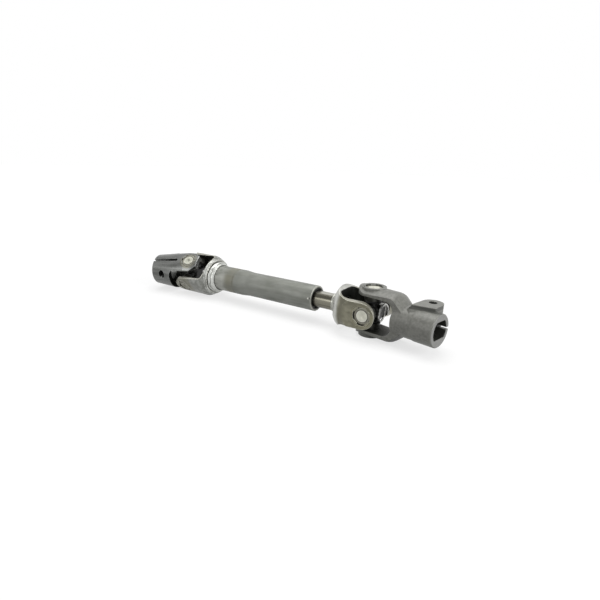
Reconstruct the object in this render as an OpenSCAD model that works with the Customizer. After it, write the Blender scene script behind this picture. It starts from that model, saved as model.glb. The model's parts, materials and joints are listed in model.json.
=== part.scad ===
// Telescoping universal joint shaft: a split column yoke, a cross joint, a tube that
// slides on a double-D rod, a second cross joint with a coil spring, and a split gear yoke.
// Millimetres, +Z up, +X along the shaft towards the gear yoke, table at Z = 0.

/* [Lie of the shaft] */
// Distance between the two joint centres as the shaft lies
joint_span = 206.6; // [196:0.1:240]
// Height of the tube's axis above the table
axis_h = 20.82; // [20:0.1:30]
// Place of the column joint along X, which centres the model on the origin
column_joint_x = -111.5; // [-140:0.1:-90]
// Sideways place of the tube's axis, which centres the model on the origin
axis_y = 3.34; // [-10:0.1:10]
// Turn of the column joint's ears about the tube's axis, degrees
column_phase = 50.6; // [30:0.1:60]
// Swing of the column cross in the tube yoke, degrees
column_swing = 10.4; // [-25:0.1:25]
// Swing of the column yoke on its cross, degrees
column_bend = 14; // [-25:0.1:25]
// Downward swing of the gear cross in the shaft yoke, degrees
gear_droop = 0.7; // [-20:0.1:20]
// Sideways swing of the gear yoke on its cross, degrees
gear_yaw = -10.9; // [-25:0.1:25]

/* [Cross and bearing cups] */
// Distance from a joint centre to the outer face of an ear
ear_face = 20.7; // [20:0.1:22.5]
// Outer diameter of a bearing cup
cup_d = 15; // [14:0.1:16]
// Length of a bearing cup
cup_len = 10; // [9.4:0.1:10.4]
// Depth of the cup's face below the ear's face
cup_recess = 1.2; // [0.8:0.1:1.5]
// Thickness of the cup's closed end
cup_floor = 2; // [1.5:0.1:2.5]
// Diameter of the raised disc on the cup's face
cup_disc_d = 9.6; // [8:0.1:10.5]
// Diameter of a trunnion
trunnion_d = 9; // [8.5:0.1:9.6]
// Diameter of a needle roller
needle_d = 1.66; // [1.5:0.01:1.8]
// Length of a lip seal along its trunnion
seal_len = 1.5; // [1:0.1:2]
// Outer diameter of a lip seal
seal_d = 13.6; // [12.5:0.1:14.5]
// Diameter of the stub under a lip seal
stub_d = 12; // [11:0.1:13]

/* [Column yoke] */
// Distance from the column joint's centre to the socket's end
column_len = 43.2; // [40:0.1:55]
// Outer diameter of the socket
column_socket_d = 30.9; // [29:0.1:33]
// Bore of the socket
column_bore_d = 21.8; // [20:0.1:23]
// Radius of the ears about the socket's axis
column_ear_r = 20.4; // [20:0.1:20.8]
// Half the width of an ear
column_ear_w = 11.6; // [10.6:0.1:12.4]
// Reach of an ear past the joint's centre
column_ear_tip = 10.3; // [9.5:0.1:11]
// Half the gap between the ears
column_gap = 15; // [14.5:0.1:15.6]
// Distance from the joint's centre to the floor of the gap
column_throat = 21; // [20.5:0.1:22]
// Width of the slit
column_slit = 3; // [2:0.1:3.5]
// Diameter of the pinch-bolt hole
column_bolt_d = 6.8; // [6:0.1:7.4]
// Distance from the joint's centre to the pinch bolt
column_bolt_x = 30.6; // [30:0.1:36]
// Offset of the pinch bolt from the socket's axis
column_bolt_z = 9.7; // [9:0.1:10.5]

/* [Tube yoke] */
// Half the width of an ear
tube_ear_w = 10.5; // [10.2:0.1:12]
// Half the width of an ear at its root
tube_root_w = 13.1; // [12:0.1:14]
// Half the gap between the ears
tube_gap = 15.2; // [14.5:0.1:15.6]
// Distance from the joint's centre to the floor of the gap
tube_throat = 28; // [25:0.1:28.5]
// Distance from the joint's centre to the yoke's welded end
tube_yoke_len = 33; // [31:0.1:36]
// Diameter of the yoke at its welded end
tube_yoke_end_d = 33.4; // [32:0.1:36]
// Length of the weld along the tube
tube_weld_len = 6.6; // [6:0.1:10]
// Number of ripples in the weld
weld_ripples = 3; // [2:1:4]

/* [Tube, bush and rod] */
// Distance from the column joint's centre to the tube's open end
tube_end = 153.2; // [145:0.1:160]
// Outer diameter of the tube
tube_d = 22.9; // [22:0.1:24]
// Wall of the tube
tube_wall = 2.6; // [2.2:0.1:2.8]
// Outer diameter of the tube's swelled end
swell_d = 24.6; // [23.5:0.1:26]
// Distance from the column joint's centre to the end of the swelling
swell_end = 70; // [60:0.1:80]
// Length of the taper after the swelling
swell_taper = 9; // [5:0.1:14]
// Length of the slide bush
bush_len = 60; // [40:0.1:70]
// Depth of the bush inside the tube's mouth
bush_setback = 1.6; // [1:0.1:4]
// Diameter of the rod
rod_d = 15; // [14.4:0.1:15.4]
// Distance across the rod's two flats
rod_flats = 13; // [12:0.1:13.6]
// Length of rod inside the tube
rod_engaged = 82; // [70:0.1:84]

/* [Shaft yoke] */
// Half the width of an ear
strap_w = 10.9; // [10.6:0.1:12]
// Half the gap between the ears
strap_gap = 15.2; // [14.5:0.1:15.6]
// Distance from the joint's centre to the back of the base
strap_back = 31; // [29:0.1:34]
// Thickness of the base
strap_base_t = 6.2; // [5:0.1:7]
// Outer radius of the bends between base and ears
strap_bend = 13; // [9:0.1:14]
// Radius of the base's rim about the rod's axis
strap_rim_r = 20.6; // [19.5:0.1:22]
// Radius of the rounding between the base's rim and its back
strap_rim_round = 11; // [8:0.1:12]
// Length of the weld collar on the rod
collar_len = 4.4; // [3.6:0.1:6]
// Diameter of the weld collar at the strap
collar_d = 18.4; // [17.8:0.1:21]

/* [Gear yoke] */
// Distance from the gear joint's centre to the clamp's end
gear_len = 60.8; // [59:0.1:70]
// Outer diameter of the clamp
clamp_d = 26.4; // [25.5:0.1:29]
// Diameter of the neck behind the clamp
neck_d = 25.6; // [24:0.1:27]
// Distance from the joint's centre to the clamp's step
neck_end = 42; // [40:0.1:44]
// Radius of the fork's arms about the clamp's axis
fork_r = 20.4; // [19.8:0.1:20.6]
// Half the width of a fork arm at its tip
fork_w = 12.2; // [11.4:0.1:12.8]
// Half the width of a fork arm at its foot
fork_foot_w = 9.6; // [9:0.1:11]
// Half the gap between the fork's arms
fork_gap = 14.4; // [14:0.1:14.8]
// Distance from the joint's centre to the floor of the gap
fork_throat = 25.3; // [24.5:0.1:26.5]
// Radius of the corners of the gap
fork_corner = 8; // [5:0.1:9]
// Diameter of the boss round a bearing cup
boss_d = 20; // [18.5:0.1:22]
// Diameter of the clamp's bore
clamp_bore_d = 19; // [18:0.1:20]
// Distance across the two flats of the clamp's bore
clamp_flats = 14; // [12.5:0.1:14.5]
// Height of the middle between the two flats above the clamp's axis
clamp_flats_z = 0.7; // [0:0.1:1]
// Depth of the clamp's bore
clamp_depth = 24; // [20:0.1:26]
// Width of the clamp's slit
clamp_slit = 2.1; // [1.2:0.1:2.5]
// Height of the bolt lug's top face above the clamp's axis
lug_top = 16.2; // [15.5:0.1:18]
// Depth of the lower bolt lug below the clamp's axis
lug_bottom = 11; // [9:0.1:13]
// Distance from the joint's centre to the pinch bolt
lug_bolt_x = 46.5; // [46:0.1:48]
// Sideways distance from the clamp's axis to the pinch bolt
lug_bolt_y = 11.5; // [11:0.1:12.5]
// Radius of the lug round the pinch bolt
lug_r = 8.2; // [7:0.1:8.6]
// Diameter of the pinch-bolt hole
lug_hole_d = 6.8; // [6.6:0.1:8.4]

/* [Spring] */
// Diameter of the spring's wire
wire_d = 1.7; // [1.4:0.05:1.9]
// Mean diameter of the coils
spring_mean_d = 14.4; // [13.6:0.1:15]
// Distance between neighbouring coils
spring_pitch = 2.8; // [2.6:0.05:4]
// Number of coils
spring_coils = 1.25; // [1:0.25:2]
// Length of the spring's straight free end
spring_leg = 3; // [2:0.1:4]

/* [Clearances] */
// Radial gap of a pressed or welded seat
seat_gap = 0.02; // [0.01:0.01:0.05]
// Radial play of a needle roller on each side
needle_play = 0.02; // [0.01:0.01:0.04]
// Gap between a trunnion's end and the floor of its cup
thrust_gap = 0.1; // [0.05:0.01:0.3]
// Gap between a lip seal and the rim of its cup
seal_gap = 0.3; // [0.2:0.05:0.5]
// Radial gap between the rod and its bush
slide_gap = 0.05; // [0.02:0.01:0.08]
// Gap between the spring and the spigot that carries it
spring_gap = 0.3; // [0.2:0.05:0.5]

/* [Hidden] */
$fn = 72;

// Bearing cups, measured outwards along a trunnion from the joint's centre
cup_r = cup_d / 2;
cup_face = ear_face - cup_recess;
cup_rim = cup_face - cup_len;
cup_bed = cup_face - cup_floor;
trunnion_r = trunnion_d / 2;
trunnion_end = cup_bed - thrust_gap;
needle_pitch_r = trunnion_r + needle_play + needle_d / 2;
cup_bore_r = trunnion_r + needle_d + 2 * needle_play;
needle_side_gap = 0.08;
needle_count = floor(180 / asin((needle_d + needle_side_gap) / (2 * needle_pitch_r)));
needle_end_gap = 0.3;
needle_lip = 1.2;
needle_len = cup_bed - cup_rim - needle_lip - 2 * needle_end_gap;
seal_base = cup_rim - seal_gap - seal_len;
stub_r = stub_d / 2;
core_r = seal_base;

// Face of a bearing cup: raised disc, groove round it and rounded edge
disc_r = cup_disc_d / 2;
disc_groove = 0.6;
disc_step = 0.45;
cup_edge = 1.2;
dimple_r = 1.7;
dimple_depth = 0.45;

// Staking marks that hold a cup in its ear
flat_stakes = [45, 135, 225, 315];
round_stakes = [28, 152, 208, 332];
stake_angle = 34;
stake_reach = 0.9;
stake_root = 0.6;
stake_gap = 0.12;
stake_groove_w = 1.1;
stake_groove_depth = 0.6;

// Column yoke: a long cone between the ears and the socket's end
column_socket_r = column_socket_d / 2;
cone_start = 4;
hollow_start = column_throat - 6.5;
hollow_end = column_throat + 8;
column_side_r = 6;
column_corner = 5;
column_slit_start = column_throat - 8;
column_end_chamfer = 0.8;
ear_tip_flat = column_ear_w - 5.4;
ear_tip_drop = 7.4;

// Tube yoke: bell between the ears and the weld
tube_corner = 5;
tube_side_r = 6;
tube_socket_depth = 3;
tube_yoke_end_r = tube_yoke_end_d / 2;
bell_start = tube_throat - 2.4;
bell_round = 6;
root_start = tube_throat - 4;
weld_ripple_h = 0.5;

// Tube
tube_r = tube_d / 2;
swell_r = swell_d / 2;
tube_start = tube_yoke_len - tube_socket_depth;
stake_dent_r = 1.3;
stake_dent_depth = 0.55;
stake_dent_x = tube_end - 1.9;
stake_dent_turn = -10;
mouth_chamfer = 0.4;

// Rod and strap
rod_r = rod_d / 2;
strap_inside = strap_back - strap_base_t;
strap_inner_bend = strap_bend - (ear_face - strap_gap);
strap_widen_x = 14;
strap_widen_r = 18;
strap_corner_r = norm([ear_face, strap_w]) + 0.5;
strap_lean = 20;
strap_tip_x = strap_w / cos(strap_lean) - strap_w;
strap_bar_x = 6;
gear_joint_x = joint_span;
rod_tip_chamfer = 1;

// Gear yoke
clamp_r = clamp_d / 2;
neck_r = neck_d / 2;
shoulder_start = fork_throat - 1.8;
shoulder_end = fork_throat + 7.8;
shoulder_round = 9;
hub_start = fork_throat - fork_corner;
clamp_step = 1.4;
clamp_chamfer = 0.7;
slit_start = gear_len - clamp_depth - 3;
lug_toe = [lug_bolt_x - lug_r, -5.9];
lug_nose = [lug_bolt_x + 9, -0.4];
lug_web_turn = atan2(-lug_toe[1], lug_top) + acos(neck_r / norm([lug_toe[1], lug_top])) - 10;
lug_web_run = 4.8;
lug_web_r = neck_r - 0.8;
lug_web_step = 1.3;
lug_web_crest = [lug_toe[0], lug_toe[1], lug_top - lug_web_step];
lug_web_corner = [lug_toe[0], lug_bolt_y, lug_top - lug_web_step];
lug_web_foot = [lug_toe[0], -lug_web_r * sin(lug_web_turn), lug_web_r * cos(lug_web_turn)];
lug_web_start = [lug_toe[0] - lug_web_run, lug_toe[1], sqrt(pow(lug_web_r, 2) - pow(lug_toe[1], 2))];
lug_web_fade = [lug_nose[0], lug_nose[1], clamp_r - 0.3];

// Spring and the spigot on the gear cross that carries it
wire_r = wire_d / 2;
spring_r = spring_mean_d / 2;
spigot_r = spring_r - wire_r - spring_gap;
spring_start = stub_r + spring_gap + wire_r;
spigot_end = spring_start + wire_r;
rings_per_coil = 8;
wire_sides = 6;

// Points on an arc of radius r about [cx, cy]
function arc(cx, cy, r, from, to, steps = 8) =
    [for (i = [0 : steps]) let (a = from + (to - from) * i / steps) [cx + r * cos(a), cy + r * sin(a)]];

// Frames: the tube's axis, the two joints, and the parts that swing on them
module at_tube() translate([column_joint_x, axis_y, axis_h]) children();
module at_column_joint() at_tube() rotate([-column_phase, 0, 0]) children();
module at_column_cross() at_column_joint() rotate([0, 0, column_swing]) children();
module at_column_yoke() at_column_cross() rotate([0, -column_bend, 0]) rotate([-90, 0, 180]) children();
module at_gear_joint() at_tube() translate([gear_joint_x, 0, 0]) children();
module at_shaft_yoke() at_gear_joint() rotate([-90, 0, 180]) children();
module at_gear_cross() at_gear_joint() rotate([0, gear_droop, 0]) children();
module at_gear_yoke() at_gear_cross() rotate([0, 0, gear_yaw]) children();

// Solid turned about the X axis from [x, radius] points
module turned(points) {
    rotate([0, 90, 0])
        rotate_extrude()
            polygon([for (p = points) [p[1], p[0]]]);
}

// Bar along X with a drawn [y, z] section
module bar_x(from, to) {
    translate([from, 0, 0])
        rotate([90, 0, 90])
            linear_extrude(to - from)
                children();
}

// Slab through Y with a drawn [x, z] outline
module slab_y(width) {
    rotate([90, 0, 0])
        linear_extrude(width, center = true)
            children();
}

// The same thing on both ears of a yoke
module on_both_ears() {
    children();
    rotate([180, 0, 0])
        children();
}

// Round section with two flats square to Z
module double_d(d, flats) {
    intersection() {
        circle(d = d);
        square([d + 1, flats], center = true);
    }
}

// Gap between two ears, open towards -X, with rounded corners at its floor, as an [x, z] outline
module fork_gap_outline(half, throat, corner) {
    reach = 3 * ear_face;
    translate([throat - corner - reach, -half])
        square([reach, 2 * half]);
    translate([throat - corner - 1, -(half - corner)])
        square([corner + 1, 2 * (half - corner)]);
    for (side = [-1, 1])
        translate([throat - corner, side * (half - corner)])
            circle(corner);
}

// Plan of a yoke where its ears widen to the full round, with a hollow curve on both sides
module widening(from, half, curve, to) {
    reach = 3 * ear_face;
    difference() {
        translate([from, -half - curve])
            square([curve, 2 * (half + curve)]);
        for (side = [-1, 1])
            translate([from, side * (half + curve)])
                circle(curve);
    }
    translate([from + curve - 0.01, -reach])
        square([to, 2 * reach]);
}

// Hole for a bearing cup through an ear on +Z
module cup_hole() {
    translate([0, 0, cup_rim])
        cylinder(r = cup_r + seat_gap, h = ear_face);
}

// Lips of metal staked over the cup's edge
module stake_lips(turns) {
    root_r = cup_r + stake_root / 2;
    for (turn = turns)
        rotate([0, 0, turn - stake_angle / 2])
            rotate_extrude(angle = stake_angle)
                polygon([
                    [cup_r - stake_reach, cup_face + stake_gap],
                    [root_r, cup_face - cup_edge],
                    [root_r, ear_face - 0.1],
                    [cup_r - stake_reach + 0.3, ear_face - 0.4]
                ]);
}

// Grooves that the staking punch leaves outside the lips
module stake_grooves(turns) {
    groove_r = cup_r + stake_root;
    for (turn = turns)
        rotate([0, 0, turn - stake_angle / 2 - 4])
            rotate_extrude(angle = stake_angle + 8)
                polygon([
                    [groove_r, ear_face + 1],
                    [groove_r, ear_face - stake_groove_depth],
                    [groove_r + stake_groove_w, ear_face + 0.01],
                    [groove_r + stake_groove_w, ear_face + 1]
                ]);
}

// Yoke with its cup holes bored and staked; a round yoke trims the lips to its own radius
module bored_ears(turns, trim_r) {
    difference() {
        children();
        on_both_ears() {
            cup_hole();
            stake_grooves(turns);
        }
    }
    intersection() {
        on_both_ears()
            stake_lips(turns);
        rotate([0, 90, 0])
            cylinder(r = trim_r - 0.05, h = 4 * cup_d, center = true);
    }
}

// Bearing cup on +Z
module cup() {
    color("gainsboro")
        rotate_extrude()
            polygon(concat(
                [[0, cup_face - dimple_depth], [dimple_r * 0.5, cup_face - dimple_depth * 0.7]],
                [[dimple_r, cup_face], [disc_r, cup_face]],
                [[disc_r + disc_groove * 0.4, cup_face - disc_step]],
                [[disc_r + disc_groove, cup_face - disc_step]],
                [[disc_r + 1.6 * disc_groove, cup_face - disc_step * 0.3]],
                arc(cup_r - cup_edge, cup_face - disc_step * 0.3 - cup_edge, cup_edge, 90, 0, 5),
                [[cup_r, cup_rim], [cup_bore_r, cup_rim], [cup_bore_r, cup_bed], [0, cup_bed]]
            ));
}

// Needle rollers of the cup on +Z
module needles() {
    for (i = [0 : needle_count - 1])
        rotate([0, 0, i * 360 / needle_count])
            translate([needle_pitch_r, 0, cup_rim + needle_lip + needle_end_gap])
                cylinder(d = needle_d, h = needle_len, $fn = 24);
}

module needle_set() {
    color("silver")
        on_both_ears()
            needles();
}

// Cross with trunnions on Y and Z
module cross_body() {
    intersection() {
        sphere(core_r);
        cube([2 * stub_r, 3 * core_r, 3 * core_r], center = true);
    }
    for (turn = [0 : 90 : 270])
        rotate([turn, 0, 0]) {
            cylinder(r = stub_r, h = seal_base);
            cylinder(r = trunnion_r, h = trunnion_end);
        }
}

// Lip seals on the four trunnions
module seal_set() {
    color("#1c1c1c")
        for (turn = [0 : 90 : 270])
            rotate([turn, 0, 0])
                translate([0, 0, seal_base])
                    rotate_extrude()
                        polygon([
                            [trunnion_r + seat_gap, 0],
                            [seal_d / 2 - 0.3, 0],
                            [seal_d / 2, seal_len * 0.4],
                            [seal_d / 2 - 0.5, seal_len],
                            [trunnion_r + seat_gap, seal_len]
                        ]);
}

// Column yoke: a cone that carries two ears, cut square at their tips
module column_body() {
    outer = [
        [-column_ear_tip - 1, 0], [-column_ear_tip - 1, column_ear_r], [cone_start, column_ear_r],
        [column_len - column_end_chamfer, column_socket_r],
        [column_len, column_socket_r - column_end_chamfer], [column_len, 0]
    ];
    side = column_ear_w;
    shoulder_x = -column_ear_tip + ear_tip_drop;
    intersection() {
        turned(outer);
        linear_extrude(4 * ear_face, center = true) {
            polygon([
                [-column_ear_tip, -ear_tip_flat], [shoulder_x, -side], [column_throat, -side],
                [column_throat, side], [shoulder_x, side], [-column_ear_tip, ear_tip_flat]
            ]);
            widening(column_throat - column_side_r, side, column_side_r, column_len);
        }
    }
}

module column_yoke() {
    color("#8d8f8b")
        at_column_yoke()
            bored_ears(round_stakes, column_ear_r)
                difference() {
                    column_body();
                    slab_y(4 * ear_face)
                        fork_gap_outline(column_gap, column_throat, column_corner);
                    turned([
                        [0, 0], [0, column_gap], [hollow_start, column_gap],
                        [hollow_end, column_bore_d / 2], [hollow_end, 0]
                    ]);
                    translate([hollow_start, 0, 0])
                        rotate([0, 90, 0])
                            cylinder(d = column_bore_d, h = column_len);
                    translate([column_slit_start, -column_slit / 2, 0])
                        cube([column_len, column_slit, 2 * ear_face]);
                    translate([column_bolt_x, 0, column_bolt_z])
                        rotate([90, 0, 0])
                            cylinder(d = column_bolt_d, h = 3 * ear_face, center = true);
                }
}

module column_cup_upper() { at_column_yoke() cup(); }
module column_cup_lower() { at_column_yoke() rotate([180, 0, 0]) cup(); }
module column_yoke_needles() { at_column_yoke() needle_set(); }
module column_cross() { color("dimgray") at_column_cross() cross_body(); }
module column_seals() { at_column_cross() seal_set(); }

// Tube yoke: two round-backed ears on a bell that is welded to the tube
module tube_yoke_body() {
    slope = atan2(ear_face - tube_yoke_end_r, tube_yoke_len - bell_start);
    round_x = bell_start - bell_round * tan(slope / 2);
    outer = concat(
        [[-tube_ear_w - 1, 0], [-tube_ear_w - 1, ear_face]],
        arc(round_x, ear_face - bell_round, bell_round, 90, 90 - slope, 5),
        [[tube_yoke_len, tube_yoke_end_r], [tube_yoke_len, 0]]
    );
    intersection() {
        turned(outer);
        linear_extrude(4 * ear_face, center = true) {
            circle(tube_ear_w);
            polygon([
                [0, -tube_ear_w], [root_start + 0.01, -tube_root_w],
                [root_start + 0.01, tube_root_w], [0, tube_ear_w]
            ]);
            widening(root_start, tube_root_w, tube_side_r, tube_yoke_len);
        }
    }
}

module tube_yoke() {
    color("#9a9c98")
        at_column_joint()
            bored_ears(round_stakes, ear_face)
                difference() {
                    tube_yoke_body();
                    slab_y(4 * ear_face)
                        fork_gap_outline(tube_gap, tube_throat, tube_corner);
                    translate([tube_start, 0, 0])
                        rotate([0, 90, 0])
                            cylinder(r = swell_r + seat_gap, h = tube_yoke_len);
                }
}

module tube_cup_front() { at_column_joint() rotate([180, 0, 0]) cup(); }
module tube_cup_back() { at_column_joint() cup(); }
module tube_yoke_needles() { at_column_joint() needle_set(); }

// Weld between tube yoke and tube, laid in ripples that step down to the tube
module tube_weld() {
    weld_end = tube_yoke_len + tube_weld_len;
    steps = 6 * weld_ripples;
    foot_r = swell_r + 0.6;
    top_r = tube_yoke_end_r - 0.5;
    crown = [for (i = [0 : steps]) let (t = i / steps, ripple = abs(sin(180 * weld_ripples * t)))
        [tube_yoke_len + tube_weld_len * t, top_r + (foot_r - top_r) * t + weld_ripple_h * ripple]];
    color("#c4c6c4")
        at_tube()
            turned(concat(
                [[tube_yoke_len, swell_r + seat_gap]], crown, [[weld_end, swell_r + seat_gap]]
            ));
}

// Tube, swelled at the yoke and staked round its mouth
module outer_tube() {
    color("#7c7f78")
        at_tube()
            difference() {
                turned([
                    [tube_start, swell_r - tube_wall], [tube_start, swell_r], [swell_end, swell_r],
                    [swell_end + swell_taper, tube_r], [tube_end - mouth_chamfer, tube_r],
                    [tube_end, tube_r - mouth_chamfer], [tube_end, tube_r - tube_wall],
                    [swell_end + swell_taper, tube_r - tube_wall], [swell_end, swell_r - tube_wall]
                ]);
                for (turn = [0 : 90 : 270])
                    rotate([turn + stake_dent_turn, 0, 0])
                        translate([stake_dent_x, -(tube_r + stake_dent_r - stake_dent_depth), 0])
                            sphere(stake_dent_r);
            }
}

// Bush that the rod slides in
module slide_bush() {
    bush_end = tube_end - bush_setback;
    color("#2b2b2b")
        at_tube()
            difference() {
                bar_x(bush_end - bush_len, bush_end)
                    circle(tube_r - tube_wall - seat_gap);
                bar_x(bush_end - bush_len - 1, bush_end + 1)
                    double_d(rod_d + 2 * slide_gap, rod_flats + 2 * slide_gap);
            }
}

// Double-D rod, seated in the strap's back
module slide_rod() {
    tip = tube_end - rod_engaged;
    color("#b9b6ae")
        at_tube()
            intersection() {
                bar_x(tip, gear_joint_x - strap_inside)
                    double_d(rod_d, rod_flats);
                turned([
                    [tip, 0], [tip, rod_r - rod_tip_chamfer], [tip + rod_tip_chamfer, rod_r],
                    [gear_joint_x, rod_r], [gear_joint_x, 0]
                ]);
            }
}

// Weld collar between the rod and the strap
module rod_weld() {
    back = gear_joint_x - strap_back;
    color("#d2d2ce")
        at_tube()
            difference() {
                turned([
                    [back - collar_len, 0], [back - collar_len, rod_r + 0.4],
                    [back - collar_len + 0.6, rod_r + 0.9], [back - collar_len + 1.8, rod_r + 0.9],
                    [back - 1, collar_d / 2 - 0.3], [back, collar_d / 2], [back, 0]
                ]);
                bar_x(back - collar_len - 1, back + 1)
                    double_d(rod_d + 2 * seat_gap, rod_flats + 2 * seat_gap);
            }
}

// Round tip of the ear on +Z, which leans back towards the base as it goes inwards
module strap_tip() {
    height = 2 * (ear_face - strap_gap);
    translate([strap_tip_x, 0, ear_face])
        rotate([0, -strap_lean, 0])
            linear_extrude(2 * height, center = true) {
                circle(strap_w);
                translate([0, -strap_w])
                    square([strap_widen_x, 2 * strap_w]);
            }
}

// Shaft yoke: two flat ears bent out of a round, slightly domed base
module shaft_yoke() {
    rim_x = strap_back - strap_rim_round;
    color("#93938c")
        at_shaft_yoke()
            bored_ears(flat_stakes, 2 * ear_face)
                difference() {
                    intersection() {
                        slab_y(4 * ear_face)
                            fork_gap_outline(ear_face, strap_back, strap_bend);
                        union() {
                            on_both_ears()
                                strap_tip();
                            linear_extrude(4 * ear_face, center = true) {
                                translate([strap_bar_x, -strap_w])
                                    square([strap_widen_x + 1 - strap_bar_x, 2 * strap_w]);
                                widening(strap_widen_x, strap_w, strap_widen_r, strap_back);
                            }
                        }
                        turned(concat(
                            [[-2 * strap_w, 0], [-2 * strap_w, strap_corner_r]],
                            [[strap_widen_x - 3, strap_corner_r]],
                            arc(rim_x, strap_rim_r - strap_rim_round, strap_rim_round, 90, 0, 9),
                            [[strap_back, 0]]
                        ));
                    }
                    slab_y(4 * ear_face)
                        fork_gap_outline(strap_gap, strap_inside, strap_inner_bend);
                    rotate([0, 0, 180])
                        rotate([90, 0, 0])
                            bar_x(-strap_back - 1, 0)
                                double_d(rod_d + 2 * seat_gap, rod_flats + 2 * seat_gap);
                }
}

module shaft_cup_near() { at_shaft_yoke() cup(); }
module shaft_cup_far() { at_shaft_yoke() rotate([180, 0, 0]) cup(); }
module shaft_yoke_needles() { at_shaft_yoke() needle_set(); }

// Gear cross, with the spigot that carries the spring
module gear_cross() {
    color("dimgray")
        at_gear_cross() {
            cross_body();
            turned([
                [0, 0], [0, spigot_r], [spigot_end - 0.6, spigot_r],
                [spigot_end, spigot_r - 0.6], [spigot_end, 0]
            ]);
        }
}

module gear_seals() { at_gear_cross() seal_set(); }

// Spring: the wire's centre line at a coil number, with a straight tail at each end
function spring_point(coil) = [
    spring_start + spring_pitch * coil,
    spring_r * sin(360 * coil),
    spring_r * cos(360 * coil)
];
function spring_tangent(coil) =
    let (t = [spring_pitch / (2 * PI), spring_r * cos(360 * coil), -spring_r * sin(360 * coil)])
    t / norm(t);
function spring_ring(centre, tangent) =
    let (side = cross(tangent, [1, 0, 0]), across = side / norm(side), along = cross(tangent, across))
    [for (k = [0 : wire_sides - 1]) let (a = 360 * k / wire_sides)
        centre + wire_r * (cos(a) * across + sin(a) * along)];
spring_steps = spring_coils * rings_per_coil;
spring_centres = concat(
    [spring_point(0) - wire_d * spring_tangent(0)],
    [for (i = [0 : spring_steps]) spring_point(i / rings_per_coil)],
    [spring_point(spring_coils) + spring_leg * spring_tangent(spring_coils)]
);
spring_tangents = concat(
    [spring_tangent(0)],
    [for (i = [0 : spring_steps]) spring_tangent(i / rings_per_coil)],
    [spring_tangent(spring_coils)]
);
spring_rings = len(spring_centres);
spring_self_gap = min([
    for (i = [0 : spring_rings - 1], j = [0 : spring_rings - 1])
        if (j - i > rings_per_coil / 2) norm(spring_centres[j] - spring_centres[i]) - wire_d
]);
echo(spring_self_gap = spring_self_gap);

module joint_spring() {
    last = spring_rings - 1;
    points = [for (i = [0 : last]) each spring_ring(spring_centres[i], spring_tangents[i])];
    walls = [
        for (i = [0 : last - 1], k = [0 : wire_sides - 1])
            let (a = i * wire_sides + k, b = i * wire_sides + (k + 1) % wire_sides)
                each [[a, b, b + wire_sides], [a, b + wire_sides, a + wire_sides]]
    ];
    caps = [
        for (k = [1 : wire_sides - 2])
            each [[0, k + 1, k], [last * wire_sides, last * wire_sides + k, last * wire_sides + k + 1]]
    ];
    color("#d8d8d4")
        at_gear_cross()
            polyhedron(points, concat(walls, caps));
}

// Gear yoke: fork arms that run out of a round neck, with a split clamp at the far end
module fork_arms() {
    slope = atan2(fork_r - neck_r, shoulder_end - shoulder_start);
    round_x = shoulder_start - shoulder_round * tan(slope / 2);
    outer = concat(
        [[-fork_w - 1, 0], [-fork_w - 1, fork_r]],
        arc(round_x, fork_r - shoulder_round, shoulder_round, 90, 90 - slope, 6),
        [[shoulder_end, neck_r], [shoulder_end, 0]]
    );
    intersection() {
        turned(outer);
        linear_extrude(4 * ear_face, center = true) {
            circle(fork_w);
            polygon([
                [0, -fork_w], [shoulder_end, -fork_foot_w],
                [shoulder_end, fork_foot_w], [0, fork_w]
            ]);
        }
    }
    on_both_ears()
        translate([0, 0, fork_gap])
            cylinder(d = boss_d, h = ear_face - fork_gap);
}

// Section of the clamp's bore: round, with two flats
module clamp_section() {
    intersection() {
        circle(d = clamp_bore_d);
        translate([0, clamp_flats_z])
            square([clamp_bore_d + 1, clamp_flats], center = true);
    }
}

// Lugs either side of the slit
module clamp_lugs() {
    translate([0, 0, -lug_bottom])
        linear_extrude(lug_bottom + lug_top) {
            translate([lug_bolt_x, lug_bolt_y])
                circle(lug_r);
            polygon([
                [lug_bolt_x - lug_r, lug_bolt_y], lug_toe, lug_nose, [lug_bolt_x + lug_r, lug_bolt_y]
            ]);
        }
}

// Everything below the plane through three points
module below(a, b, c) {
    facing = cross(b - a, c - a);
    translate(a)
        rotate([0, acos(facing[2] / norm(facing)), atan2(facing[1], facing[0])])
            translate([-2 * gear_len, -2 * gear_len, -4 * gear_len])
                cube(4 * gear_len);
}

// Web that slopes from the upper lug's edges down to the neck and fades out along the clamp
module lug_web() {
    intersection() {
        linear_extrude(lug_top)
            polygon([for (p = [lug_web_corner, lug_web_start, lug_web_foot, lug_web_fade]) [p[0], p[1]]]);
        below(lug_web_crest, lug_web_foot, lug_web_fade);
        below(lug_web_crest, lug_web_start, lug_web_foot);
        below(lug_web_crest, lug_web_corner, lug_web_start);
    }
}

module gear_yoke() {
    color("#6f716c")
        at_gear_yoke()
            bored_ears(flat_stakes, 2 * ear_face)
                difference() {
                    union() {
                        fork_arms();
                        lug_web();
                        difference() {
                            clamp_lugs();
                            translate([0, -2 * clamp_r, -2 * clamp_r])
                                cube([2 * gear_len, 2 * clamp_r, 2 * clamp_r]);
                        }
                        turned([
                            [hub_start, 0], [hub_start, neck_r],
                            [neck_end, neck_r], [neck_end + clamp_step, clamp_r],
                            [gear_len - clamp_chamfer, clamp_r], [gear_len, clamp_r - clamp_chamfer],
                            [gear_len, 0]
                        ]);
                    }
                    slab_y(4 * ear_face)
                        fork_gap_outline(fork_gap, fork_throat, fork_corner);
                    bar_x(gear_len - clamp_depth, gear_len + 1)
                        clamp_section();
                    translate([slit_start, 0, -clamp_slit / 2])
                        cube([gear_len, 3 * clamp_r, clamp_slit]);
                    translate([lug_bolt_x, lug_bolt_y, 0])
                        cylinder(d = lug_hole_d, h = 4 * clamp_r, center = true);
                }
}

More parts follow.
